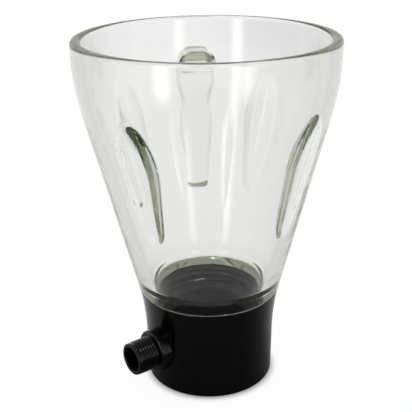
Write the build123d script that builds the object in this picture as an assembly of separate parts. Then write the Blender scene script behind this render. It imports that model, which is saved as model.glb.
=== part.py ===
from build123d import *
import os
from math import acos, asin, atan2, cos, degrees, hypot, pi, sin, sqrt, tan

# A glass blender jar on a black screw-on base collar with a threaded outlet.
# Frame: +Z up, origin on the jar's axis in the plane it stands on, handle towards +Y.
# All lengths are millimetres and all angles are degrees.

# Glass jar
overall_height = 210.0
rim_radius = 75.0  # outside of the rim
rim_wall = 6.0  # glass at the rim
rim_edge = 2.0  # rounding of the rim's two edges
rim_upright = 6.0  # straight band under the rim
wall_curve = 150.0  # outer radius that turns the cone upright
foot_radius = 42.8  # outside of the glass where it meets the collar
seat_drop = 3.9  # the underside slopes down by this from the foot to the neck
shoulder_radius = 36.3  # inside of the cone above the neck
shoulder_height = 9.0  # that corner's height above the collar
shoulder_round = 3.0
throat_radius = 33.6  # top of the neck's tapered bore
throat_height = 5.0  # that corner's height above the collar
throat_round = 2.0
neck_radius = 35.1  # over the neck's thread
neck_bore = 31.0  # at the neck's end
neck_length = 14.5

# Leaf-shaped ribs on the inside of the wall, evenly spaced, broad above and narrow below
rib_count = 4
rib_turn = 49.7  # first rib, from +X
rib_drop = 27.0  # upper end below the rim
rib_fall = 77.5  # upper end to lower end, measured upright
rib_width = 24.0
rib_low_width = 14.0
rib_height = 5.0  # above the wall at the broad end
rib_stretch = 2.2  # its ends are drawn out by this

# Handle, moulded in one with the jar and free at its lower end
handle_drop = 23.3  # top of the arm below the rim
handle_length = 105.7  # top of the arm to the free end
arm_height = 11.0
arm_width = 22.0
arm_dome = 8.2  # rounding of the arm's upper edges
grip_reach = 119.0  # back of the grip from the jar's axis
grip_thickness = 14.0
grip_lean = 5.0  # how far the free end comes back towards the jar
grip_top = 29.0  # widths of the grip: under the bend
grip_waist = 21.5  # where the first finger lies
grip_swell = 25.5
grip_taper = 20.5
grip_tip = 16.5  # at the free end
grip_parts = (15.7, 15.5, 24.0, 23.5)  # lengths between those widths, drawn out to fill the grip
bend_radius = 27.0  # outside of the bend from arm to grip
grip_edge = 4.5  # rounding of the grip's outer edges
handle_inner_edge = 2.5  # rounding of the edges that face the jar
tip_edge = 2.5  # rounding of the free end

# Base collar
front_angle = 270.0  # the front is -Y
collar_height = 58.0  # to the underside of the glass
collar_gap = 0.3  # between the collar's rim and the glass
collar_base_radius = 38.8
collar_waist_radius = 39.3
collar_waist_height = 24.0
collar_rim_radius = 42.6
collar_rim_edge = 0.5
collar_foot_edge = 1.5
collar_wall = 3.0  # at the base
thread_clearance = 0.4  # between neck and socket
ledge_thickness = 3.0  # floor that carries the seal
ledge_bore = 20.0  # radius of the hole in that floor
blade_socket_depth = 12.0  # for the blade unit, from below
blade_seat_thickness = 3.0
blade_seat_bore = 31.0

# Seal between the neck's end and the collar's floor
seal_thickness = 2.5
seal_overhang = 7.0  # inwards, past the neck's bore

# Outlet for a tap, on the collar
outlet_angle = 57.7  # from the front, towards -X
outlet_height = 25.0
outlet_reach = 58.5  # end face from the jar's axis
outlet_bore = 7.5
outlet_thread_radius = 10.0
outlet_tip_radius = 9.7  # plain ring in front of the thread
outlet_tip_length = 2.5
outlet_flange_radius = 13.0
outlet_flange_reach = 44.5  # front of the flange from the jar's axis
outlet_flange_edge = 1.5


def tangent_angle(centre, radius, point):
    # Angle from the vertical of the line that runs up from point and touches the arc about centre
    across = point[0] - centre[0]
    along = centre[1] - point[1]
    return atan2(along, across) - acos(radius / hypot(across, along))


def arc_point(centre, radius, angle):
    return (centre[0] + radius * cos(angle), centre[1] - radius * sin(angle))


def wall_lines(low_point, radius):
    # Side of the jar from low_point up: a straight cone, then the arc that turns it upright
    slope = tangent_angle(arc_centre, radius, low_point)
    start = arc_point(arc_centre, radius, slope)
    middle = arc_point(arc_centre, radius, slope / 2)
    end = arc_point(arc_centre, radius, 0)
    return [Line(low_point, start), ThreePointArc(start, middle, end)]


def turned(outline):
    # Solid of revolution about the jar's axis of a face drawn as (radius, height)
    return revolve(Plane.XZ * outline, Axis.Z)


def corner(outline, point):
    return outline.vertices().sort_by_distance((point[0], point[1], 0))[0]


# Places that follow from the sizes above
from_base = (Align.CENTER, Align.CENTER, Align.MIN)
arc_centre = (rim_radius - wall_curve, overall_height - rim_upright)
rim_bore = rim_radius - rim_wall
neck_end = collar_height - neck_length
foot = (foot_radius, collar_height)
shoulder = (shoulder_radius, collar_height + shoulder_height)
throat = (throat_radius, collar_height + throat_height)
inner_curve = wall_curve - rim_wall
inner_slope = tangent_angle(arc_centre, inner_curve, shoulder)
handle_top = overall_height - handle_drop

# Glass: its outside and its inside as turned solids
top_corners = [(rim_radius, arc_centre[1]), (rim_radius, overall_height), (0, overall_height)]
outside_lines = [
    Polyline((0, neck_end), (neck_radius, neck_end), (neck_radius, collar_height - seat_drop), foot),
    *wall_lines(foot, wall_curve),
    Polyline(*top_corners, (0, neck_end)),
]
outside_face = make_face(outside_lines)
outside = turned(fillet(corner(outside_face, (rim_radius, overall_height)), rim_edge))

lip = (rim_bore + rim_edge, overall_height - rim_edge)
inside_lines = [
    Polyline((0, neck_end), (neck_bore, neck_end), throat, shoulder),
    *wall_lines(shoulder, inner_curve),
    Line((rim_bore, arc_centre[1]), (rim_bore, lip[1])),
    CenterArc(lip, rim_edge, 180, -90),
    Polyline((lip[0], overall_height), (0, overall_height), (0, neck_end)),
]
inside_face = make_face(inside_lines)
inside_face = fillet(corner(inside_face, shoulder), shoulder_round)
inside_face = fillet(corner(inside_face, throat), throat_round)
inside = turned(inside_face)

def inner_wall(height):
    # Radius of the inside of the glass at this height, without the ribs
    bend_start = arc_point(arc_centre, inner_curve, inner_slope)
    if height < bend_start[1]:
        return bend_start[0] - (bend_start[1] - height) * tan(inner_slope)
    return arc_centre[0] + sqrt(inner_curve**2 - (height - arc_centre[1]) ** 2)


# Ribs: a cone with two ball ends, drawn out along its axis and sunk into the wall
rib_round = (rib_width**2 / 4 + rib_height**2) / (2 * rib_height)
rib_low_round = rib_round * rib_low_width / rib_width
rib_sink = (rib_round - rib_height) / rib_round
high_end = overall_height - rib_drop - rib_stretch * rib_width / 2
low_end = overall_height - rib_drop - rib_fall + rib_stretch * rib_low_width / 2
rib_slope = atan2(inner_wall(high_end) - inner_wall(low_end), high_end - low_end)


def rib_centre(height, size):
    # Centre of a ball of this size that is sunk into the wall at this height, as (radius, Z)
    return (
        inner_wall(height) + size * rib_sink * cos(rib_slope),
        height - size * rib_sink * sin(rib_slope),
    )


high_ball = rib_centre(high_end, rib_round)
low_ball = rib_centre(low_end, rib_low_round)
rib_span = hypot(high_ball[0] - low_ball[0], high_ball[1] - low_ball[1]) / rib_stretch
rib_lean = atan2(high_ball[0] - low_ball[0], high_ball[1] - low_ball[1])
rib_cone = asin((rib_round - rib_low_round) / rib_span)
rib_low_edge = (rib_low_round * cos(rib_cone), -rib_low_round * sin(rib_cone))
rib_high_edge = (rib_round * cos(rib_cone), rib_span - rib_round * sin(rib_cone))
rib_lines = [
    CenterArc((0, 0), rib_low_round, -90, 90 - degrees(rib_cone)),
    Line(rib_low_edge, rib_high_edge),
    CenterArc((0, rib_span), rib_round, -degrees(rib_cone), 90 + degrees(rib_cone)),
    Line((0, rib_span + rib_round), (0, -rib_low_round)),
]
rib_body = scale(turned(make_face(rib_lines)), by=(1, 1, rib_stretch))
rib_body = Pos(low_ball[0], 0, low_ball[1]) * Rot(0, degrees(rib_lean), 0) * rib_body
for number in range(rib_count):
    inside -= Rot(0, 0, rib_turn + number * 360 / rib_count) * rib_body


def handle_section(back, down, width, thickness, outer_edge):
    # Section of the handle with its outer face at back, square to down, both as (Y, Z)
    side = width / 2
    low = handle_inner_edge - thickness
    inner_side = side - handle_inner_edge
    outer_side = side - outer_edge
    outline = [
        Line((-inner_side, -thickness), (inner_side, -thickness)),
        CenterArc((inner_side, low), handle_inner_edge, -90, 90),
        Line((side, low), (side, -outer_edge)),
        CenterArc((outer_side, -outer_edge), outer_edge, 0, 90),
        Line((outer_side, 0), (-outer_side, 0)),
        CenterArc((-outer_side, -outer_edge), outer_edge, 90, 90),
        Line((-side, -outer_edge), (-side, low)),
        CenterArc((-inner_side, low), handle_inner_edge, 180, 90),
    ]
    place = Plane(origin=(0, *back), x_dir=(-1, 0, 0), z_dir=(0, *down))
    return place * Wire(outline)


# Handle: lofted along the arm, round the bend and down the grip
bend_centre = (grip_reach - bend_radius, handle_top - bend_radius)
arm_sections = []
for reach in (foot_radius, bend_centre[0]):
    arm_sections.append(handle_section((reach, handle_top), (1, 0), arm_width, arm_height, arm_dome))
bend_sections = []
for share in (0, 1 / 3, 2 / 3, 1):
    turn = share * pi / 2
    back = (bend_centre[0] + bend_radius * sin(turn), bend_centre[1] + bend_radius * cos(turn))
    width = arm_width + (grip_top - arm_width) * sin(turn) ** 2
    thickness = arm_height + (grip_thickness - arm_height) * share
    edge = arm_dome + (grip_edge - arm_dome) * share
    bend_sections.append(handle_section(back, (cos(turn), -sin(turn)), width, thickness, edge))
grip_length = handle_length - bend_radius
grip_sections = []
for number, width in enumerate((grip_top, grip_waist, grip_swell, grip_taper, grip_tip)):
    share = sum(grip_parts[:number]) / sum(grip_parts)
    back = (grip_reach - grip_lean * share**2, bend_centre[1] - grip_length * share)
    grip_sections.append(handle_section(back, (0, -1), width, grip_thickness, grip_edge))
grip = Solid.make_loft(grip_sections)
grip = fillet(grip.faces().sort_by(Axis.Z)[0].edges(), tip_edge)
handle = Solid.make_loft(arm_sections) + Solid.make_loft(bend_sections) + grip

jar = outside + handle - inside

# Base collar: turned outside, the outlet on it, then the hollows
ledge_top = neck_end - seal_thickness
ledge_bottom = ledge_top - ledge_thickness
blade_seat_top = blade_socket_depth + blade_seat_thickness
socket_radius = neck_radius + thread_clearance
chamber_radius = collar_base_radius - collar_wall


def under_glass(radius):
    # Top of the collar at this radius, parallel to the sloping underside of the glass
    return collar_height - collar_gap - seat_drop * (foot_radius - radius) / (foot_radius - neck_radius)


waist = (collar_waist_radius, collar_waist_height)
collar_rim = (collar_rim_radius, under_glass(collar_rim_radius))
seat_low = (socket_radius, under_glass(socket_radius))
collar_lines = [
    Polyline((0, seat_low[1]), (0, 0), (collar_base_radius, 0), waist),
    TangentArc(waist, collar_rim, tangent=(0, 1)),
    Polyline(collar_rim, seat_low, (0, seat_low[1])),
]
collar_face = make_face(collar_lines)
collar_face = fillet(corner(collar_face, (collar_base_radius, 0)), collar_foot_edge)
collar_face = fillet(corner(collar_face, collar_rim), collar_rim_edge)
collar = turned(collar_face)

outlet_place = Rot(0, 0, front_angle - outlet_angle) * Pos(0, 0, outlet_height) * Rot(0, 90, 0)


def along_outlet(radius, end):
    # Cylinder about the outlet's axis, from the jar's axis out to end
    return Cylinder(radius, end, align=from_base)


flange = along_outlet(outlet_flange_radius, outlet_flange_reach)
flange = chamfer(flange.edges().group_by(Axis.Z)[-1], outlet_flange_edge)
thread_end = outlet_reach - outlet_tip_length
outlet = flange + along_outlet(outlet_thread_radius, thread_end)
outlet += along_outlet(outlet_tip_radius, outlet_reach)
collar += outlet_place * outlet
hollows = [
    (socket_radius, ledge_top, seat_low[1]),
    (ledge_bore, ledge_bottom, ledge_top),
    (chamber_radius, blade_seat_top, ledge_bottom),
    (blade_seat_bore, blade_socket_depth, blade_seat_top),
    (chamber_radius, 0, blade_socket_depth),
]
for radius, low, high in hollows:
    collar -= Pos(0, 0, low) * Cylinder(radius, high - low, align=from_base)
collar -= outlet_place * along_outlet(outlet_bore, outlet_reach)

# Seal: a flat ring under the neck
seal_hole = neck_bore - seal_overhang
seal = Cylinder(neck_radius, seal_thickness, align=from_base)
seal -= Cylinder(seal_hole, seal_thickness, align=from_base)
seal = Pos(0, 0, ledge_top) * seal

os.makedirs("parts", exist_ok=True)
for name, solid in (("glass_jar", jar), ("base_collar", collar), ("neck_seal", seal)):
    export_step(solid, f"parts/{name}.step")
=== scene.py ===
from math import acos, asin, atan2, cos, hypot, pi, radians, sin, sqrt, tan

import bpy
from mathutils import Matrix, Vector


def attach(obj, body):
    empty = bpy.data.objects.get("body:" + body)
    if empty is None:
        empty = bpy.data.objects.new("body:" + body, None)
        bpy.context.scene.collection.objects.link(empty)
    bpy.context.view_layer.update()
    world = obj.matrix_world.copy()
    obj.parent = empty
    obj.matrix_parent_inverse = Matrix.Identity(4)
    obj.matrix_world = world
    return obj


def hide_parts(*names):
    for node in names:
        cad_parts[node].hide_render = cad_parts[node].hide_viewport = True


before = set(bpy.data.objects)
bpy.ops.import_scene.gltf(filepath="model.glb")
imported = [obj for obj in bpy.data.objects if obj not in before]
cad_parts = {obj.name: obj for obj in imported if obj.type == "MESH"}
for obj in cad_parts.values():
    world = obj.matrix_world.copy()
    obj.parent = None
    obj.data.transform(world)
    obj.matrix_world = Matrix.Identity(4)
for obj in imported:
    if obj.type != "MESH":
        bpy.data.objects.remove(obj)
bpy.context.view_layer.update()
scene = bpy.context.scene
mm = 0.001  # sizes below are millimetres, except in the studio
hair = 0.01  # for telling vertices apart


# small helpers

def startFresh():
    if bpy.context.object and bpy.context.object.mode != "OBJECT":
        bpy.ops.object.mode_set(mode="OBJECT")
    bpy.ops.object.select_all(action="DESELECT")


def pick(piece):
    startFresh()
    piece.select_set(True)
    bpy.context.view_layer.objects.active = piece


def smoothStep(share):
    share = min(max(share, 0.0), 1.0)
    return share * share * (3 - 2 * share)


def softLower(first, second, width):  # the lower of two values, rounded over width
    share = min(max(0.5 + 0.5 * (second - first) / width, 0.0), 1.0)
    return second + (first - second) * share - width * share * (1 - share)


def spaced(start, end, step):  # values from start to end, about step apart
    count = max(1, round(abs(end - start) / step))
    return [start + (end - start) * i / count for i in range(count + 1)]


def between(first, second, share):  # point part of the way from first to second
    return tuple(a + (b - a) * share for a, b in zip(first, second))


def arcPoints(centre, radius, start, end, count):  # angles in degrees from +radius
    angles = [radians(a) for a in spaced(start, end, abs(end - start) / count)]
    return [(centre[0] + radius * cos(a), centre[1] + radius * sin(a)) for a in angles]


def roundCorner(before, corner, after, radius, count):  # arc that replaces a corner of an outline
    corner = Vector(corner)
    first = (Vector(before) - corner).normalized()
    second = (Vector(after) - corner).normalized()
    half = first.angle(second) / 2
    centre = corner + (first + second).normalized() * radius / sin(half)
    start = corner + first * radius / tan(half) - centre
    end = corner + second * radius / tan(half) - centre
    sweep = start.angle_signed(end)
    turns = [Matrix.Rotation(-sweep * i / count, 2) for i in range(count + 1)]
    return [tuple(centre + turn @ start) for turn in turns]


def addLoop(name, count):  # closed loop of vertices, still to be placed
    startFresh()
    bpy.ops.mesh.primitive_circle_add(vertices=count, radius=10 * mm)
    piece = bpy.context.object
    piece.name = name
    return piece


def turnOutline(name, points, steps):  # closed outline of (radius, height) spun about Z
    piece = addLoop(name, len(points))
    for vertex, (radius, height) in zip(piece.data.vertices, points):
        vertex.co = (radius * mm, 0, height * mm)
    bpy.ops.object.mode_set(mode="EDIT")
    bpy.ops.mesh.select_all(action="SELECT")
    bpy.ops.mesh.spin(steps=steps, angle=2 * pi, center=(0, 0, 0), axis=(0, 0, 1))
    closeMesh()
    return piece


def closeMesh():  # merge doubles and turn the faces outwards, from edit mode
    bpy.ops.mesh.select_all(action="SELECT")
    bpy.ops.mesh.remove_doubles(threshold=0.002 * mm)
    bpy.ops.mesh.normals_make_consistent(inside=False)
    bpy.ops.object.mode_set(mode="OBJECT")


def polar(vertex):  # radius, angle about Z, height
    x, y, z = vertex.co
    return hypot(x, y) / mm, atan2(y, x), z / mm


def moveOut(vertex, radius, newRadius):  # straight out from Z
    vertex.co.x *= newRadius / radius
    vertex.co.y *= newRadius / radius


def combine(piece, tool, operation):  # boolean, then the tool goes
    pick(piece)
    change = piece.modifiers.new(operation.lower(), "BOOLEAN")
    change.operation = operation
    change.solver = "EXACT"
    change.object = tool
    bpy.ops.object.modifier_apply(modifier=change.name)
    bpy.data.objects.remove(tool)


def settle(piece, body, node, material, angle):  # finish, place and declare a piece
    pick(piece)
    piece.data.materials.clear()
    piece.data.materials.append(material)
    bpy.ops.object.shade_smooth_by_angle(angle=radians(angle))
    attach(piece, body)
    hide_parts(node)
    print(piece.name, len(piece.data.polygons), "faces")


# camera at the photograph's viewing angle

cameraPlace = {
    "distance": 448.7,  # from the jar's axis, in plan
    "height": 290.0,
    "swing": 4.7,  # towards -X from the front
    "aim": 4.53,  # heading, from +Y towards +X
    "pitch": 21.98,  # downwards
    "roll": -0.687,
    "lens": 70.83,
    "sensor": 36.0,
    "near": 10.0,
}


def makeCamera(place):
    data = bpy.data.cameras.new("photoCamera")
    data.lens = place["lens"]
    data.sensor_width = place["sensor"]
    data.clip_start = place["near"] * mm
    camera = bpy.data.objects.new("photoCamera", data)
    scene.collection.objects.link(camera)
    swing = radians(place["swing"])
    out = place["distance"] * mm
    spot = Vector((-out * sin(swing), -out * cos(swing), place["height"] * mm))
    turn = Matrix.Rotation(radians(-place["aim"]), 4, "Z")
    tilt = Matrix.Rotation(radians(90 - place["pitch"]), 4, "X")
    roll = Matrix.Rotation(radians(place["roll"]), 4, "Z")
    camera.matrix_world = Matrix.Translation(spot) @ turn @ tilt @ roll
    scene.camera = camera


makeCamera(cameraPlace)
print("camera set")


# materials

def joinNodes(tree, operation, first, second):
    node = tree.nodes.new("ShaderNodeMath")
    node.operation = operation
    for socket, value in zip(node.inputs, (first, second)):
        if isinstance(value, (int, float)):
            socket.default_value = value
        else:
            tree.links.new(value, socket)
    return node.outputs[0]


def easeNode(tree, value, fromLow, fromHigh, toLow, toHigh):
    node = tree.nodes.new("ShaderNodeMapRange")
    node.interpolation_type = "SMOOTHSTEP"
    tree.links.new(value, node.inputs["Value"])
    ends = {"From Min": fromLow, "From Max": fromHigh, "To Min": toLow, "To Max": toHigh}
    for label, number in ends.items():
        node.inputs[label].default_value = number
    return node.outputs["Result"]


def emptyMaterial(name):
    material = bpy.data.materials.new(name)
    material.use_nodes = True
    tree = material.node_tree
    tree.nodes.clear()
    return material, tree, tree.nodes.new("ShaderNodeOutputMaterial")


def newMaterial(name):
    material, tree, output = emptyMaterial(name)
    shader = tree.nodes.new("ShaderNodeBsdfPrincipled")
    tree.links.new(shader.outputs["BSDF"], output.inputs["Surface"])
    return material, tree, shader, output


def newGroup(name, inputs, outputs):
    group = bpy.data.node_groups.new(name, "ShaderNodeTree")
    for label, value in inputs.items():
        socket = group.interface.new_socket(label, in_out="INPUT", socket_type="NodeSocketFloat")
        socket.default_value = value
    for label in outputs:
        group.interface.new_socket(label, in_out="OUTPUT", socket_type="NodeSocketFloat")
    return group, group.nodes.new("NodeGroupInput"), group.nodes.new("NodeGroupOutput")


def noiseNode(tree, scale, detail):
    place = tree.nodes.new("ShaderNodeTexCoord")
    noise = tree.nodes.new("ShaderNodeTexNoise")
    noise.inputs["Detail"].default_value = detail
    tree.links.new(place.outputs["Object"], noise.inputs["Vector"])
    tree.links.new(scale, noise.inputs["Scale"])
    return noise.outputs[0]


noiseSpread = (0.3, 0.7)  # most of the noise lies between these


def spreadNode(tree, value, low, high):  # noise, spread from low to high
    node = tree.nodes.new("ShaderNodeMapRange")
    tree.links.new(value, node.inputs["Value"])
    node.inputs["From Min"].default_value, node.inputs["From Max"].default_value = noiseSpread
    tree.links.new(low, node.inputs["To Min"])
    tree.links.new(high, node.inputs["To Max"])
    return node.outputs["Result"]


def surfaceGroup():  # uneven polish and a fine relief
    inputs = {"Patch Scale": 60.0, "Relief Scale": 900.0, "Smooth": 0.1, "Rough": 0.2}
    group, start, end = newGroup("surfaceFinish", inputs, ("Roughness", "Height"))
    patches = noiseNode(group, start.outputs["Patch Scale"], 5.0)
    relief = noiseNode(group, start.outputs["Relief Scale"], 2.0)
    polish = spreadNode(group, patches, start.outputs["Smooth"], start.outputs["Rough"])
    group.links.new(polish, end.inputs["Roughness"])
    group.links.new(relief, end.inputs["Height"])
    return group


def wearGroup():  # rubbed edges, broken up by grain
    inputs = {"Grain Scale": 400.0, "From": 0.53, "To": 0.62, "Amount": 0.5}
    group, start, end = newGroup("edgeWear", inputs, ("Mask",))
    shape = group.nodes.new("ShaderNodeNewGeometry")
    edge = group.nodes.new("ShaderNodeMapRange")
    group.links.new(shape.outputs["Pointiness"], edge.inputs["Value"])
    group.links.new(start.outputs["From"], edge.inputs["From Min"])
    group.links.new(start.outputs["To"], edge.inputs["From Max"])
    grain = noiseNode(group, start.outputs["Grain Scale"], 4.0)
    mask = joinNodes(group, "MULTIPLY", edge.outputs["Result"], grain)
    group.links.new(joinNodes(group, "MULTIPLY", mask, start.outputs["Amount"]), end.inputs["Mask"])
    return group


def useGroup(tree, group, values):
    node = tree.nodes.new("ShaderNodeGroup")
    node.node_tree = group
    for label, value in values.items():
        node.inputs[label].default_value = value
    return node


def addRelief(tree, shader, height, strength, depth):
    bump = tree.nodes.new("ShaderNodeBump")
    bump.inputs["Strength"].default_value = strength
    bump.inputs["Distance"].default_value = depth * mm
    tree.links.new(height, bump.inputs["Height"])
    tree.links.new(bump.outputs["Normal"], shader.inputs["Normal"])


def addWear(tree, shader, mask, roughness, look):  # paler and duller where rubbed
    tint = tree.nodes.new("ShaderNodeMix")
    tint.data_type = "RGBA"
    tint.inputs["A"].default_value = (*look["colour"], 1)
    tint.inputs["B"].default_value = (*look["wornColour"], 1)
    tree.links.new(mask, tint.inputs["Factor"])
    tree.links.new(tint.outputs["Result"], shader.inputs["Base Color"])
    dull = joinNodes(tree, "ADD", roughness, joinNodes(tree, "MULTIPLY", mask, look["wornDull"]))
    tree.links.new(dull, shader.inputs["Roughness"])


surfaceFinish = surfaceGroup()
edgeWear = wearGroup()

glassLook = {
    "ior": 1.5,
    "tint": (0.43, 0.50, 0.26),  # of thick glass
    "density": 6.5,
    "finish": {"Patch Scale": 90.0, "Relief Scale": 42.0, "Smooth": 0.0, "Rough": 0.012},
    "relief": (0.25, 0.5),  # strength and depth; faint waves of pressed glass
}
plasticLook = {
    "ior": 1.4,
    "colour": (0.0015, 0.0015, 0.0015),
    "wornColour": (0.02, 0.02, 0.02),
    "wornDull": 0.25,
    "finish": {"Patch Scale": 70.0, "Relief Scale": 700.0, "Smooth": 0.07, "Rough": 0.16},
    "wear": {"Grain Scale": 350.0, "Amount": 0.6},
    "relief": (0.1, 0.05),
}
rubberLook = {
    "ior": 1.5,
    "colour": (0.03, 0.03, 0.03),
    "wornColour": (0.08, 0.08, 0.078),
    "wornDull": 0.25,
    "finish": {"Patch Scale": 120.0, "Relief Scale": 1500.0, "Smooth": 0.5, "Rough": 0.7},
    "wear": {"Grain Scale": 600.0, "Amount": 0.5},
    "relief": (0.3, 0.1),
}


def clearMaterial(name, look):
    material, tree, shader, output = newMaterial(name)
    shader.inputs["Base Color"].default_value = (1, 1, 1, 1)
    shader.inputs["Transmission Weight"].default_value = 1.0
    shader.inputs["IOR"].default_value = look["ior"]
    finish = useGroup(tree, surfaceFinish, look["finish"])
    tree.links.new(finish.outputs["Roughness"], shader.inputs["Roughness"])
    addRelief(tree, shader, finish.outputs["Height"], *look["relief"])
    depth = tree.nodes.new("ShaderNodeVolumeAbsorption")
    depth.inputs["Color"].default_value = (*look["tint"], 1)
    depth.inputs["Density"].default_value = look["density"]
    tree.links.new(depth.outputs["Volume"], output.inputs["Volume"])
    return material


def wornMaterial(name, look):
    material, tree, shader, output = newMaterial(name)
    shader.inputs["IOR"].default_value = look["ior"]
    finish = useGroup(tree, surfaceFinish, look["finish"])
    wear = useGroup(tree, edgeWear, look["wear"])
    addRelief(tree, shader, finish.outputs["Height"], *look["relief"])
    addWear(tree, shader, wear.outputs["Mask"], finish.outputs["Roughness"], look)
    return material


# glass jar: one spun outline, with the ribs raised inside and the handle joined on

jar = {
    "height": 210.0,
    "rimRadius": 75.0,
    "rimWall": 6.0,
    "rimEdge": 2.0,
    "rimUpright": 6.0,
    "wallCurve": 150.0,
    "foot": (42.8, 58.0),  # outside, where the glass meets the collar
    "footEdge": 0.8,
    "footInset": 0.2,
    "shoulder": (36.3, 67.0),  # inside, above the neck
    "throat": (33.6, 63.0),
    "shoulderRound": 3.0,
    "throatRound": 2.0,
    "neckBore": 31.0,  # at the neck's end
    "neckRadius": 35.1,
    "seatHeight": 54.1,  # where the sloped underside meets the neck
    "neckEnd": 43.5,
    "threadDepth": 1.0,
    "threadPitch": 5.0,
    "threadWidth": 2.6,
    "threadTop": 53.0,
    "rows": 1.5,
    "neckRows": 0.3,  # close enough for the thread
    "columns": 320,
    "edgeSteps": 6,
    "shoulderSteps": 12,
    "smooth": 40.0,
}
curveCentre = (jar["rimRadius"] - jar["wallCurve"], jar["height"] - jar["rimUpright"])


def wallSlope(low, curve):
    across = low[0] - curveCentre[0]
    along = curveCentre[1] - low[1]
    return atan2(along, across) - acos(curve / hypot(across, along))


def wallRadius(height, low, curve):  # straight cone, then the arc that turns it upright
    slope = wallSlope(low, curve)
    below = curveCentre[1] - height
    if below > curve * sin(slope):
        return low[0] + (height - low[1]) * tan(slope)
    return curveCentre[0] + sqrt(curve ** 2 - max(below, 0) ** 2)


def outerRadius(height):
    return wallRadius(height, jar["foot"], jar["wallCurve"])


def innerRadius(height):
    return wallRadius(height, jar["shoulder"], jar["wallCurve"] - jar["rimWall"])


def jarOutline():
    edge, steps = jar["rimEdge"], jar["edgeSteps"]
    top = jar["height"]
    rimIn = jar["rimRadius"] - jar["rimWall"]
    foot, shoulder, throat = jar["foot"], jar["shoulder"], jar["throat"]
    neck, seat = jar["neckRadius"], jar["seatHeight"]
    points = [(neck, z) for z in spaced(jar["neckEnd"], seat, jar["neckRows"])]
    footIn = (foot[0] - jar["footInset"], foot[1])
    points += [between((neck, seat), footIn, share) for share in spaced(0, 1, 0.2)[1:]]
    heights = spaced(foot[1] + jar["footEdge"], top - edge, jar["rows"])
    points += [(outerRadius(z), z) for z in heights]
    points += arcPoints((jar["rimRadius"] - edge, top - edge), edge, 0, 90, steps)[1:]
    points += arcPoints((rimIn + edge, top - edge), edge, 90, 180, steps)
    above = (innerRadius(shoulder[1] + 30), shoulder[1] + 30)
    below = (jar["neckBore"], jar["neckEnd"])
    bend = roundCorner(above, shoulder, throat, jar["shoulderRound"], jar["shoulderSteps"])
    heights = spaced(top - edge, bend[0][1] + 0.4, jar["rows"])[1:]
    points += [(innerRadius(z), z) for z in heights] + bend
    points += roundCorner(shoulder, throat, below, jar["throatRound"], steps)
    points += [between(throat, below, share) for share in spaced(0.1, 1, 0.1)]
    points += [(r, jar["neckEnd"]) for r in spaced(below[0], neck, jar["rows"])[1:-1]]
    return points


rib = {  # leaf-shaped swellings of the inside wall, broad above and narrow below
    "count": 4,
    "turn": 49.7,
    "top": 183.0,  # upper end
    "fall": 77.5,  # upper end to lower end
    "width": 24.0,
    "lowWidth": 14.0,
    "height": 5.0,  # above the wall at the broad end
    "stretch": 2.2,  # its ends are drawn out by this
    "crease": 0.8,  # rounding of its edge
    "zone": (85.0, 202.0),  # heights it can reach
    "zoneTurn": 0.4,  # widest turn to each side, in radians
    "closeness": 0.001,  # of the search for its surface
    "tries": 60,
}


def ribBody():  # a cone with two ball ends, drawn out along its line
    size = (rib["width"] ** 2 / 4 + rib["height"] ** 2) / (2 * rib["height"])
    lowSize = size * rib["lowWidth"] / rib["width"]
    sink = (size - rib["height"]) / size
    high = rib["top"] - rib["stretch"] * rib["width"] / 2
    low = rib["top"] - rib["fall"] + rib["stretch"] * rib["lowWidth"] / 2
    slope = atan2(innerRadius(high) - innerRadius(low), high - low)
    balls = []
    for height, ball in ((low, lowSize), (high, size)):
        reach = ball * sink
        balls.append((innerRadius(height) + reach * cos(slope), height - reach * sin(slope), ball))
    (lowRadius, lowHeight, lowBall), (highRadius, highHeight, highBall) = balls
    span = hypot(highRadius - lowRadius, highHeight - lowHeight) / rib["stretch"]
    lean = atan2(highRadius - lowRadius, highHeight - lowHeight)
    return lowRadius, lowHeight, lowBall, highBall, span, lean, asin((highBall - lowBall) / span)


def ribDistance(body, radius, swing, height):
    lowRadius, lowHeight, lowBall, highBall, span, lean, cone = body
    out = radius * cos(swing) - lowRadius
    rise = height - lowHeight
    along = (out * sin(lean) + rise * cos(lean)) / rib["stretch"]
    off = hypot(radius * sin(swing), out * cos(lean) - rise * sin(lean))
    foot = min(max(along + off * tan(cone), 0.0), span)
    return hypot(off, along - foot) - lowBall - (highBall - lowBall) * foot / span


def ribbedRadius(body, angle, height, radius):  # inside radius with the ribs
    step = 2 * pi / rib["count"]
    swing = (angle - radians(rib["turn"]) + step / 2) % step - step / 2
    if abs(swing) > rib["zoneTurn"]:
        return radius
    reach = radius - 2 * rib["height"]
    for attempt in range(rib["tries"]):
        gap = ribDistance(body, reach, swing, height)
        reach += gap
        if gap < rib["closeness"] or reach > radius + rib["height"] - 1:
            break
    return softLower(radius, reach, rib["crease"]) if gap < rib["closeness"] else radius


def raiseRibs(piece):
    body = ribBody()
    low, high = rib["zone"]
    for vertex in piece.data.vertices:
        radius, angle, height = polar(vertex)
        if not low < height < high or radius > (outerRadius(height) + innerRadius(height)) / 2:
            continue
        moveOut(vertex, radius, ribbedRadius(body, angle, height, radius))


def cutThread(piece):  # a coarse screw thread round the neck
    for vertex in piece.data.vertices:
        radius, angle, height = polar(vertex)
        if height > jar["threadTop"] or radius < jar["neckRadius"] - hair:
            continue
        phase = (height / jar["threadPitch"] - angle / (2 * pi)) % 1.0
        groove = smoothStep(abs(phase - 0.5) * 2 * jar["threadPitch"] / jar["threadWidth"])
        runOut = smoothStep((jar["threadTop"] - height) / 2)
        moveOut(vertex, radius, radius - jar["threadDepth"] * groove * runOut)


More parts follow.
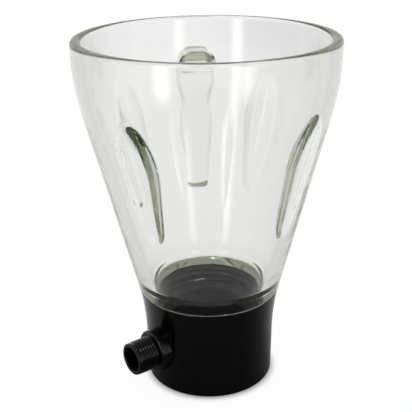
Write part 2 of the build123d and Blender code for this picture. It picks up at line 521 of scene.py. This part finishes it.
handle = {
    "top": 186.7,
    "armHeight": 11.0,
    "armWidth": 22.0,
    "armDome": 8.2,  # rounding of the arm's upper edges
    "reach": 119.0,
    "thickness": 14.0,
    "end": 81.0,
    "lean": 5.0,
    "widths": (  # height, width
        (159.7, 29.0), (144.0, 21.5), (128.5, 25.5), (104.5, 20.5), (81.0, 16.5),
    ),
    "bend": 27.0,
    "outerEdge": 4.5,
    "innerEdge": 2.5,
    "rootDrop": 8.0,  # height below the top at which its root is placed
    "rootSink": 2.0,
    "rootLow": 170.0,  # no root below this
    "rootFlare": 1.5,
    "rootEnd": 1.6,  # the root ends this deep in the wall
    "tipEdge": 2.5,
    "steps": (1.2, 16, 1.6),  # along the arm, round the bend, down the grip
    "edgeSteps": (8, 6),  # outer and inner edges
}


def gripWidth(height):  # a smooth line through the widths, level at each waist and swell
    marks = handle["widths"]
    rises = [(w2 - w1) / (h2 - h1) for (h1, w1), (h2, w2) in zip(marks, marks[1:])]
    slopes = [(r1 + r2) / 2 if r1 * r2 > 0 else 0.0 for r1, r2 in zip(rises, rises[1:])]
    slopes = [0.0] + slopes + [rises[-1]]
    for i, ((high, wide), (low, narrow)) in enumerate(zip(marks, marks[1:])):
        if height >= low:
            share, step = (high - height) / (high - low), low - high
            ease = smoothStep(share)
            bow = share * (1 - share) * step
            lift = slopes[i] * (1 - share) - slopes[i + 1] * share
            return wide + (narrow - wide) * ease + bow * lift
    return marks[-1][1]


def handleStations():  # outer point, inner point (in Y and Z), half width, outer edge
    top, bend = handle["top"], handle["bend"]
    under = top - handle["armHeight"]
    centre = (handle["reach"] - bend, top - bend)
    topWidth = handle["widths"][0][1]
    armStep, bendSteps, gripStep = handle["steps"]
    stations = []
    root = outerRadius(top - handle["rootDrop"]) - handle["rootSink"]
    for y in spaced(root, centre[0] - 1, armStep):
        stations.append(((y, top), (y, under), handle["armWidth"] / 2, handle["armDome"]))
    for share in spaced(0, 1, 1 / bendSteps):
        turn = share * pi / 2
        thick = handle["armHeight"] + (handle["thickness"] - handle["armHeight"]) * share
        width = handle["armWidth"] + (topWidth - handle["armWidth"]) * sin(turn) ** 2
        edge = handle["armDome"] + (handle["outerEdge"] - handle["armDome"]) * share
        ends = []
        for size in (bend, bend - thick):
            ends.append((centre[0] + size * sin(turn), centre[1] + size * cos(turn)))
        stations.append((*ends, width / 2, edge))
    low, tip = handle["end"], handle["tipEdge"]
    heights = spaced(centre[1] - gripStep, low + tip, gripStep)
    heights += [low + tip - tip * sin(radians(angle)) for angle in spaced(0, 90, 15)[1:]]
    for z in heights:
        y = handle["reach"] - handle["lean"] * ((centre[1] - z) / (centre[1] - low)) ** 2
        inner = (y - handle["thickness"], z)
        stations.append(((y, z), inner, gripWidth(z) / 2, handle["outerEdge"]))
    return stations


def handleSection(outer, inner, halfWidth, outerEdge):  # D-shaped loop, rounder outside
    outer, inner = Vector(outer), Vector(inner)
    thick = (outer - inner).length
    up = (outer - inner) / thick
    innerEdge = handle["innerEdge"]
    outSteps, inSteps = handle["edgeSteps"]
    flat = arcPoints((halfWidth - outerEdge, thick - outerEdge), outerEdge, 0, 90, outSteps)
    flat += arcPoints((-halfWidth + outerEdge, thick - outerEdge), outerEdge, 90, 180, outSteps)
    flat += arcPoints((-halfWidth + innerEdge, innerEdge), innerEdge, 180, 270, inSteps)
    flat += arcPoints((halfWidth - innerEdge, innerEdge), innerEdge, 270, 360, inSteps)
    return [(x, *(inner + up * n)) for x, n in flat]


def roundTip(loop, middle, halfWidth):  # draws the loop in at the free end
    tip = handle["tipEdge"]
    left = middle.y - handle["end"]  # height above the free end
    if left >= tip:
        return loop
    inset = tip - sqrt(max(0.0, tip ** 2 - (tip - left) ** 2))
    wide = 1 - inset / halfWidth
    deep = 1 - inset / (handle["thickness"] / 2)
    return [(x * wide, middle.x + (y - middle.x) * deep, z) for x, y, z in loop]


def flareRoot(loop, middle, halfWidth):  # widens the loop where it runs into the wall
    flare = handle["rootFlare"]
    gap = middle.x - outerRadius(middle.y)
    if gap >= flare or middle.y <= handle["rootLow"]:
        return loop
    share = 1 - max(gap, 0) / flare
    grow = flare * (1 - sqrt(max(0.0, 1 - share ** 2)))
    size = handle["armHeight"] / 2
    centre = handle["top"] - size
    wide, tall = 1 + grow / halfWidth, 1 + grow / size
    return [(x * wide, y, centre + (z - centre) * tall) for x, y, z in loop]


def makeHandle():
    loops = []
    for outer, inner, halfWidth, outerEdge in handleStations():
        loop = handleSection(outer, inner, halfWidth, outerEdge)
        middle = (Vector(outer) + Vector(inner)) / 2
        loop = roundTip(loop, middle, halfWidth)
        loops.append(flareRoot(loop, middle, halfWidth))
    first = loops[0]
    sunk = handle["rootEnd"]
    loops[0] = [(x, sqrt((outerRadius(z) - sunk) ** 2 - x * x), z) for x, y, z in first]
    piece = addLoop("jarHandle", len(first))
    bpy.ops.object.mode_set(mode="EDIT")
    bpy.ops.mesh.select_all(action="SELECT")
    for loop in loops[1:]:
        bpy.ops.mesh.extrude_region_move()
    bpy.ops.mesh.edge_face_add()
    bpy.ops.object.mode_set(mode="OBJECT")
    flatPoints = [point for loop in loops for point in loop]
    for vertex, point in zip(piece.data.vertices, flatPoints):
        vertex.co = Vector(point) * mm
    bpy.ops.object.mode_set(mode="EDIT")
    bpy.ops.mesh.select_all(action="SELECT")
    bpy.ops.mesh.select_non_manifold()
    bpy.ops.mesh.edge_face_add()
    closeMesh()
    return piece


def makeJar():
    piece = turnOutline("glass_jar_moulding", jarOutline(), jar["columns"])
    raiseRibs(piece)
    cutThread(piece)
    grip = makeHandle()
    combine(piece, grip, "UNION")
    glass = clearMaterial("clearGlass", glassLook)
    settle(piece, "root", "glass_jar", glass, jar["smooth"])


makeJar()


# base collar: spun body, with the outlet turned by itself and joined on

collar = {
    "top": 57.5,
    "rimRadius": 42.6,
    "rimEdge": 0.5,
    "waist": (39.3, 24.0),
    "baseRadius": 38.8,
    "baseEdge": 1.5,
    "chamber": 35.8,
    "socket": 35.5,
    "seatHeight": 53.9,  # the socket's upper edge, below the rim
    "ledge": (38.0, 41.0),
    "ledgeHole": 20.0,
    "seat": (12.0, 15.0),
    "seatHole": 31.0,
    "rows": 1.6,
    "columns": 192,
    "smooth": 35.0,
}


def collarRadius(height):
    waist, low = collar["waist"]
    if height <= low:
        return collar["baseRadius"] + (waist - collar["baseRadius"]) * height / low
    rise = collar["top"] - low
    reach = collar["rimRadius"] - waist
    curve = (rise ** 2 + reach ** 2) / (2 * reach)
    return waist + curve - sqrt(curve ** 2 - (height - low) ** 2)


def collarOutline():
    base, edge = collar["baseRadius"], collar["baseEdge"]
    top, rim = collar["top"], collar["rimEdge"]
    points = arcPoints((base - edge, edge), edge, -90, 0, 5)
    points += [(collarRadius(z), z) for z in spaced(edge, top - rim, collar["rows"])[1:]]
    points += arcPoints((collar["rimRadius"] - rim, top - rim), rim, 0, 90, 4)[1:]
    points += [(collar["socket"], collar["seatHeight"])]
    lowLedge, highLedge = collar["ledge"]
    lowSeat, highSeat = collar["seat"]
    points += [(collar["socket"], z) for z in spaced(collar["seatHeight"], highLedge, 1.0)[1:]]
    points += [(r, highLedge) for r in spaced(collar["socket"], collar["ledgeHole"], 3)[1:]]
    points += [(collar["ledgeHole"], lowLedge), (collar["chamber"], lowLedge)]
    points += [(collar["chamber"], z) for z in spaced(lowLedge, highSeat, 2)[1:]]
    points += [(collar["seatHole"], highSeat), (collar["seatHole"], lowSeat)]
    points += [(collar["chamber"], lowSeat), (collar["chamber"], 0)]
    return points


outlet = {
    "angle": 212.3,
    "height": 25.0,
    "reach": 58.5,
    "bore": 7.5,
    "threadRadius": 10.0,
    "threadDepth": 0.55,
    "threadPitch": 1.8,
    "tipRadius": 9.7,
    "tipLength": 2.5,
    "tipEdge": 0.6,
    "boreEdge": 0.5,
    "flangeRadius": 13.0,
    "flangeReach": 44.5,
    "flangeEdge": 1.5,
    "root": 37.2,  # inside the collar's wall
    "drill": (20.0, 40.0),  # length, and middle, of the hole through that wall
    "rows": 0.2,  # close enough for the thread
    "columns": 96,
}


def outletOutline():  # radius about the outlet's own axis, distance along it
    reach, tip = outlet["reach"], outlet["reach"] - outlet["tipLength"]
    flange, edge = outlet["flangeReach"], outlet["flangeEdge"]
    tipEdge, boreEdge = outlet["tipEdge"], outlet["boreEdge"]
    points = [(outlet["bore"], outlet["root"]), (outlet["flangeRadius"], outlet["root"])]
    points += arcPoints((outlet["flangeRadius"] - edge, flange - edge), edge, 0, 90, 5)
    points += [(outlet["threadRadius"], s) for s in spaced(flange, tip, outlet["rows"])]
    points += [(outlet["tipRadius"], tip + 0.3)]
    points += arcPoints((outlet["tipRadius"] - tipEdge, reach - tipEdge), tipEdge, 0, 90, 4)
    points += arcPoints((outlet["bore"] + boreEdge, reach - boreEdge), boreEdge, 90, 180, 4)
    points += [(outlet["bore"], s) for s in spaced(reach - boreEdge, outlet["root"], 2)[1:-1]]
    return points


def makeOutlet():
    piece = turnOutline("outletTube", outletOutline(), outlet["columns"])
    flange, tip = outlet["flangeReach"], outlet["reach"] - outlet["tipLength"]
    for vertex in piece.data.vertices:
        radius, angle, along = polar(vertex)
        if abs(radius - outlet["threadRadius"]) > hair or not flange + 0.1 < along < tip + hair:
            continue
        phase = (along / outlet["threadPitch"] - angle / (2 * pi)) % 1.0
        moveOut(vertex, radius, radius - outlet["threadDepth"] * (1 - abs(phase - 0.5) * 2))
    return piece


def layOutlet(piece):  # from along Z to along the outlet's axis
    turn = Matrix.Rotation(radians(outlet["angle"]), 4, "Z") @ Matrix.Rotation(pi / 2, 4, "Y")
    piece.data.transform(Matrix.Translation((0, 0, outlet["height"] * mm)) @ turn)
    return piece


def makeCollar():
    piece = turnOutline("base_collar_moulding", collarOutline(), collar["columns"])
    startFresh()
    length, middle = outlet["drill"]
    bpy.ops.mesh.primitive_cylinder_add(
        vertices=outlet["columns"], radius=(outlet["bore"] + 1) * mm,
        depth=length * mm, location=(0, 0, middle * mm))
    drill = bpy.context.object
    bpy.ops.object.transform_apply(location=True)
    combine(piece, layOutlet(drill), "DIFFERENCE")
    combine(piece, layOutlet(makeOutlet()), "UNION")
    plastic = wornMaterial("blackPlastic", plasticLook)
    settle(piece, "root", "base_collar", plastic, collar["smooth"])


makeCollar()


# seal ring

seal = {
    "outer": 35.1,
    "inner": 24.0,
    "low": 41.0,
    "high": 43.5,
    "edge": 0.5,
    "edgeSteps": 3,
    "columns": 128,
    "smooth": 40.0,
}


def makeSeal():
    edge = seal["edge"]
    outer, inner = seal["outer"] - edge, seal["inner"] + edge
    low, high = seal["low"] + edge, seal["high"] - edge
    points = []
    for i, corner in enumerate(((outer, low), (outer, high), (inner, high), (inner, low))):
        points += arcPoints(corner, edge, 90 * i - 90, 90 * i, seal["edgeSteps"])
    piece = turnOutline("neck_seal_ring", points, seal["columns"])
    rubber = wornMaterial("sealRubber", rubberLook)
    settle(piece, "root", "neck_seal", rubber, seal["smooth"])


makeSeal()


# floor, world and light cards

studio = {  # in metres
    "floorSize": 12.0,
    "floorHeight": -0.2 * mm,
    "floorPaint": 0.3,
    "floorGlow": 0.9,
    "throughGlow": 0.77,  # painted shade: the floor seen through the glass is dimmer than to the camera, in the middle and more at the sides
    "throughSide": 0.64,
    "throughReach": (0.05, 0.3),
    "mirroredShade": 0.12,  # painted shade: the floor seen through the glass is dimmer each time the glass mirrors it
    "mostMirroredShade": 0.6,
    "shadeSpot": (0.0, -0.32),  # painted shade: the floor's shine is low in front of the jar, in reflections
    "shadeReach": (0.27, 0.5),
    "shadeShine": 0.01,
    "paintedShadeUnderJar": (0.034, 0.044),  # painted shade: the floor doesn't shine under the jar, inside the collar
    "worldLight": 0.4,
    "skyLow": 0.84,  # what glass and gloss see at the horizon, and overhead
    "skyHigh": 0.45,
    "skyReach": (0.0, 0.8),
    "bounces": 40,  # light runs far inside thick glass
    "glossBounces": 32,
}


def distanceNode(tree, point, spot):
    node = tree.nodes.new("ShaderNodeVectorMath")
    node.operation = "DISTANCE"
    tree.links.new(point, node.inputs[0])
    node.inputs[1].default_value = spot
    return node.outputs["Value"]


def splitNode(tree, point):
    node = tree.nodes.new("ShaderNodeSeparateXYZ")
    tree.links.new(point, node.inputs[0])
    return node.outputs


def addShaders(tree, first, second, output):
    add = tree.nodes.new("ShaderNodeAddShader")
    tree.links.new(first.outputs[0], add.inputs[0])
    tree.links.new(second.outputs[0], add.inputs[1])
    tree.links.new(add.outputs[0], output.inputs["Surface"])


def floorStrength(tree):  # white to the camera, with painted shade through glass and in gloss
    path = tree.nodes.new("ShaderNodeLightPath")
    point = tree.nodes.new("ShaderNodeTexCoord").outputs["Object"]
    # painted shade: a dark patch on the floor in front of the jar, seen only in reflections
    away = distanceNode(tree, point, (*studio["shadeSpot"], studio["floorHeight"]))
    levels = (studio["shadeShine"], studio["floorGlow"])
    shine = easeNode(tree, away, *studio["shadeReach"], *levels)
    glossy, clear = path.outputs["Is Glossy Ray"], path.outputs["Is Transmission Ray"]
    shine = joinNodes(tree, "MULTIPLY", joinNodes(tree, "SUBTRACT", glossy, clear), shine)
    # painted shade: the floor is dimmer seen through the glass, more so to the sides
    aside = joinNodes(tree, "ABSOLUTE", splitNode(tree, point)["X"], 0.0)
    levels = (studio["throughGlow"], studio["throughSide"])
    through = easeNode(tree, aside, *studio["throughReach"], *levels)
    # painted shade: the floor is dimmer after each mirroring inside the glass
    mirrorShade = joinNodes(tree, "MULTIPLY", path.outputs["Glossy Depth"], studio["mirroredShade"])
    mirrorShade = joinNodes(tree, "MINIMUM", mirrorShade, studio["mostMirroredShade"])
    through = joinNodes(tree, "MULTIPLY", through, joinNodes(tree, "SUBTRACT", 1.0, mirrorShade))
    through = joinNodes(tree, "MULTIPLY", clear, through)
    direct = joinNodes(tree, "MULTIPLY", path.outputs["Is Camera Ray"], studio["floorGlow"])
    seen = joinNodes(tree, "MAXIMUM", joinNodes(tree, "MAXIMUM", direct, through), shine)
    # painted shade: no floor glow under the jar
    fromAxis = distanceNode(tree, point, (0, 0, 0))
    outsidePaintedShade = easeNode(tree, fromAxis, *studio["paintedShadeUnderJar"], 0.0, 1.0)
    return joinNodes(tree, "MULTIPLY", seen, outsidePaintedShade)


def makeFloor():
    startFresh()
    bpy.ops.mesh.primitive_plane_add(size=studio["floorSize"])
    ground = bpy.context.object
    ground.name = "studioFloor"
    ground.data.transform(Matrix.Translation((0, 0, studio["floorHeight"])))
    material, tree, output = emptyMaterial("paleFloor")
    paint = tree.nodes.new("ShaderNodeBsdfDiffuse")
    paint.inputs["Color"].default_value = (*[studio["floorPaint"]] * 3, 1)
    glow = tree.nodes.new("ShaderNodeEmission")
    tree.links.new(floorStrength(tree), glow.inputs["Strength"])
    addShaders(tree, paint, glow, output)
    ground.data.materials.append(material)


def makeWorld():
    world = bpy.data.worlds.new("paleStudio")
    scene.world = world
    world.use_nodes = True
    tree = world.node_tree
    tree.nodes.clear()
    output = tree.nodes.new("ShaderNodeOutputWorld")
    back = tree.nodes.new("ShaderNodeBackground")
    back.inputs["Color"].default_value = (1, 1, 1, 1)
    path = tree.nodes.new("ShaderNodeLightPath")
    heading = tree.nodes.new("ShaderNodeTexCoord").outputs["Generated"]
    levels = (studio["skyLow"], studio["skyHigh"])
    sky = easeNode(tree, splitNode(tree, heading)["Z"], *studio["skyReach"], *levels)
    glossy, clear = path.outputs["Is Glossy Ray"], path.outputs["Is Transmission Ray"]
    bent = joinNodes(tree, "MULTIPLY", joinNodes(tree, "MAXIMUM", glossy, clear), sky)
    bent = joinNodes(tree, "MAXIMUM", bent, path.outputs["Is Camera Ray"])
    tree.links.new(joinNodes(tree, "MAXIMUM", bent, studio["worldLight"]), back.inputs["Strength"])
    tree.links.new(back.outputs[0], output.inputs["Surface"])


cards = {  # soft-edged upright light cards, in metres, azimuth from the front
    "leftCard": {
        "azimuth": -38.0, "distance": 0.32, "width": 0.11, "low": 0.05, "high": 0.5,
        "sideFade": 0.5, "endFade": 0.14, "strength": 3.4,
    },
    "rightCard": {
        "azimuth": 25.0, "distance": 0.32, "width": 0.11, "low": 0.05, "high": 0.235,
        "sideFade": 0.5, "endFade": 0.35, "strength": 2.4,
    },
}


def makeCard(name, sizes):
    low, high = sizes["low"], sizes["high"]
    startFresh()
    bpy.ops.mesh.primitive_plane_add(size=1.0)
    card = bpy.context.object
    card.name = name
    place = Matrix.Translation((0, -sizes["distance"], (low + high) / 2))
    upright = Matrix.Rotation(pi / 2, 4, "X") @ Matrix.Diagonal((sizes["width"], high - low, 1, 1))
    card.data.transform(Matrix.Rotation(radians(sizes["azimuth"]), 4, "Z") @ place @ upright)
    material, tree, output = emptyMaterial(name)
    glow = tree.nodes.new("ShaderNodeEmission")
    spot = splitNode(tree, tree.nodes.new("ShaderNodeTexCoord").outputs["Generated"])
    level = sizes["strength"]
    for axis, soft in (("X", sizes["sideFade"]), ("Z", sizes["endFade"])):
        rise = easeNode(tree, spot[axis], 0.0, soft, 0.0, 1.0)
        fall = easeNode(tree, spot[axis], 1.0 - soft, 1.0, 1.0, 0.0)
        level = joinNodes(tree, "MULTIPLY", joinNodes(tree, "MULTIPLY", level, rise), fall)
    path = tree.nodes.new("ShaderNodeLightPath")
    mirrored = joinNodes(tree, "MINIMUM", path.outputs["Glossy Depth"], 1.0)
    level = joinNodes(tree, "MULTIPLY", level, mirrored)  # only in reflections
    tree.links.new(level, glow.inputs["Strength"])
    addShaders(tree, tree.nodes.new("ShaderNodeBsdfTransparent"), glow, output)
    material.cycles.emission_sampling = "NONE"
    card.data.materials.append(material)
    card.visible_camera = False
    card.visible_diffuse = False


makeFloor()
makeWorld()
for name, sizes in cards.items():
    makeCard(name, sizes)
scene.cycles.max_bounces = studio["bounces"]
scene.cycles.glossy_bounces = studio["glossBounces"]
scene.cycles.transmission_bounces = studio["bounces"]
scene.view_settings.view_transform = "Standard"
print("studio set")
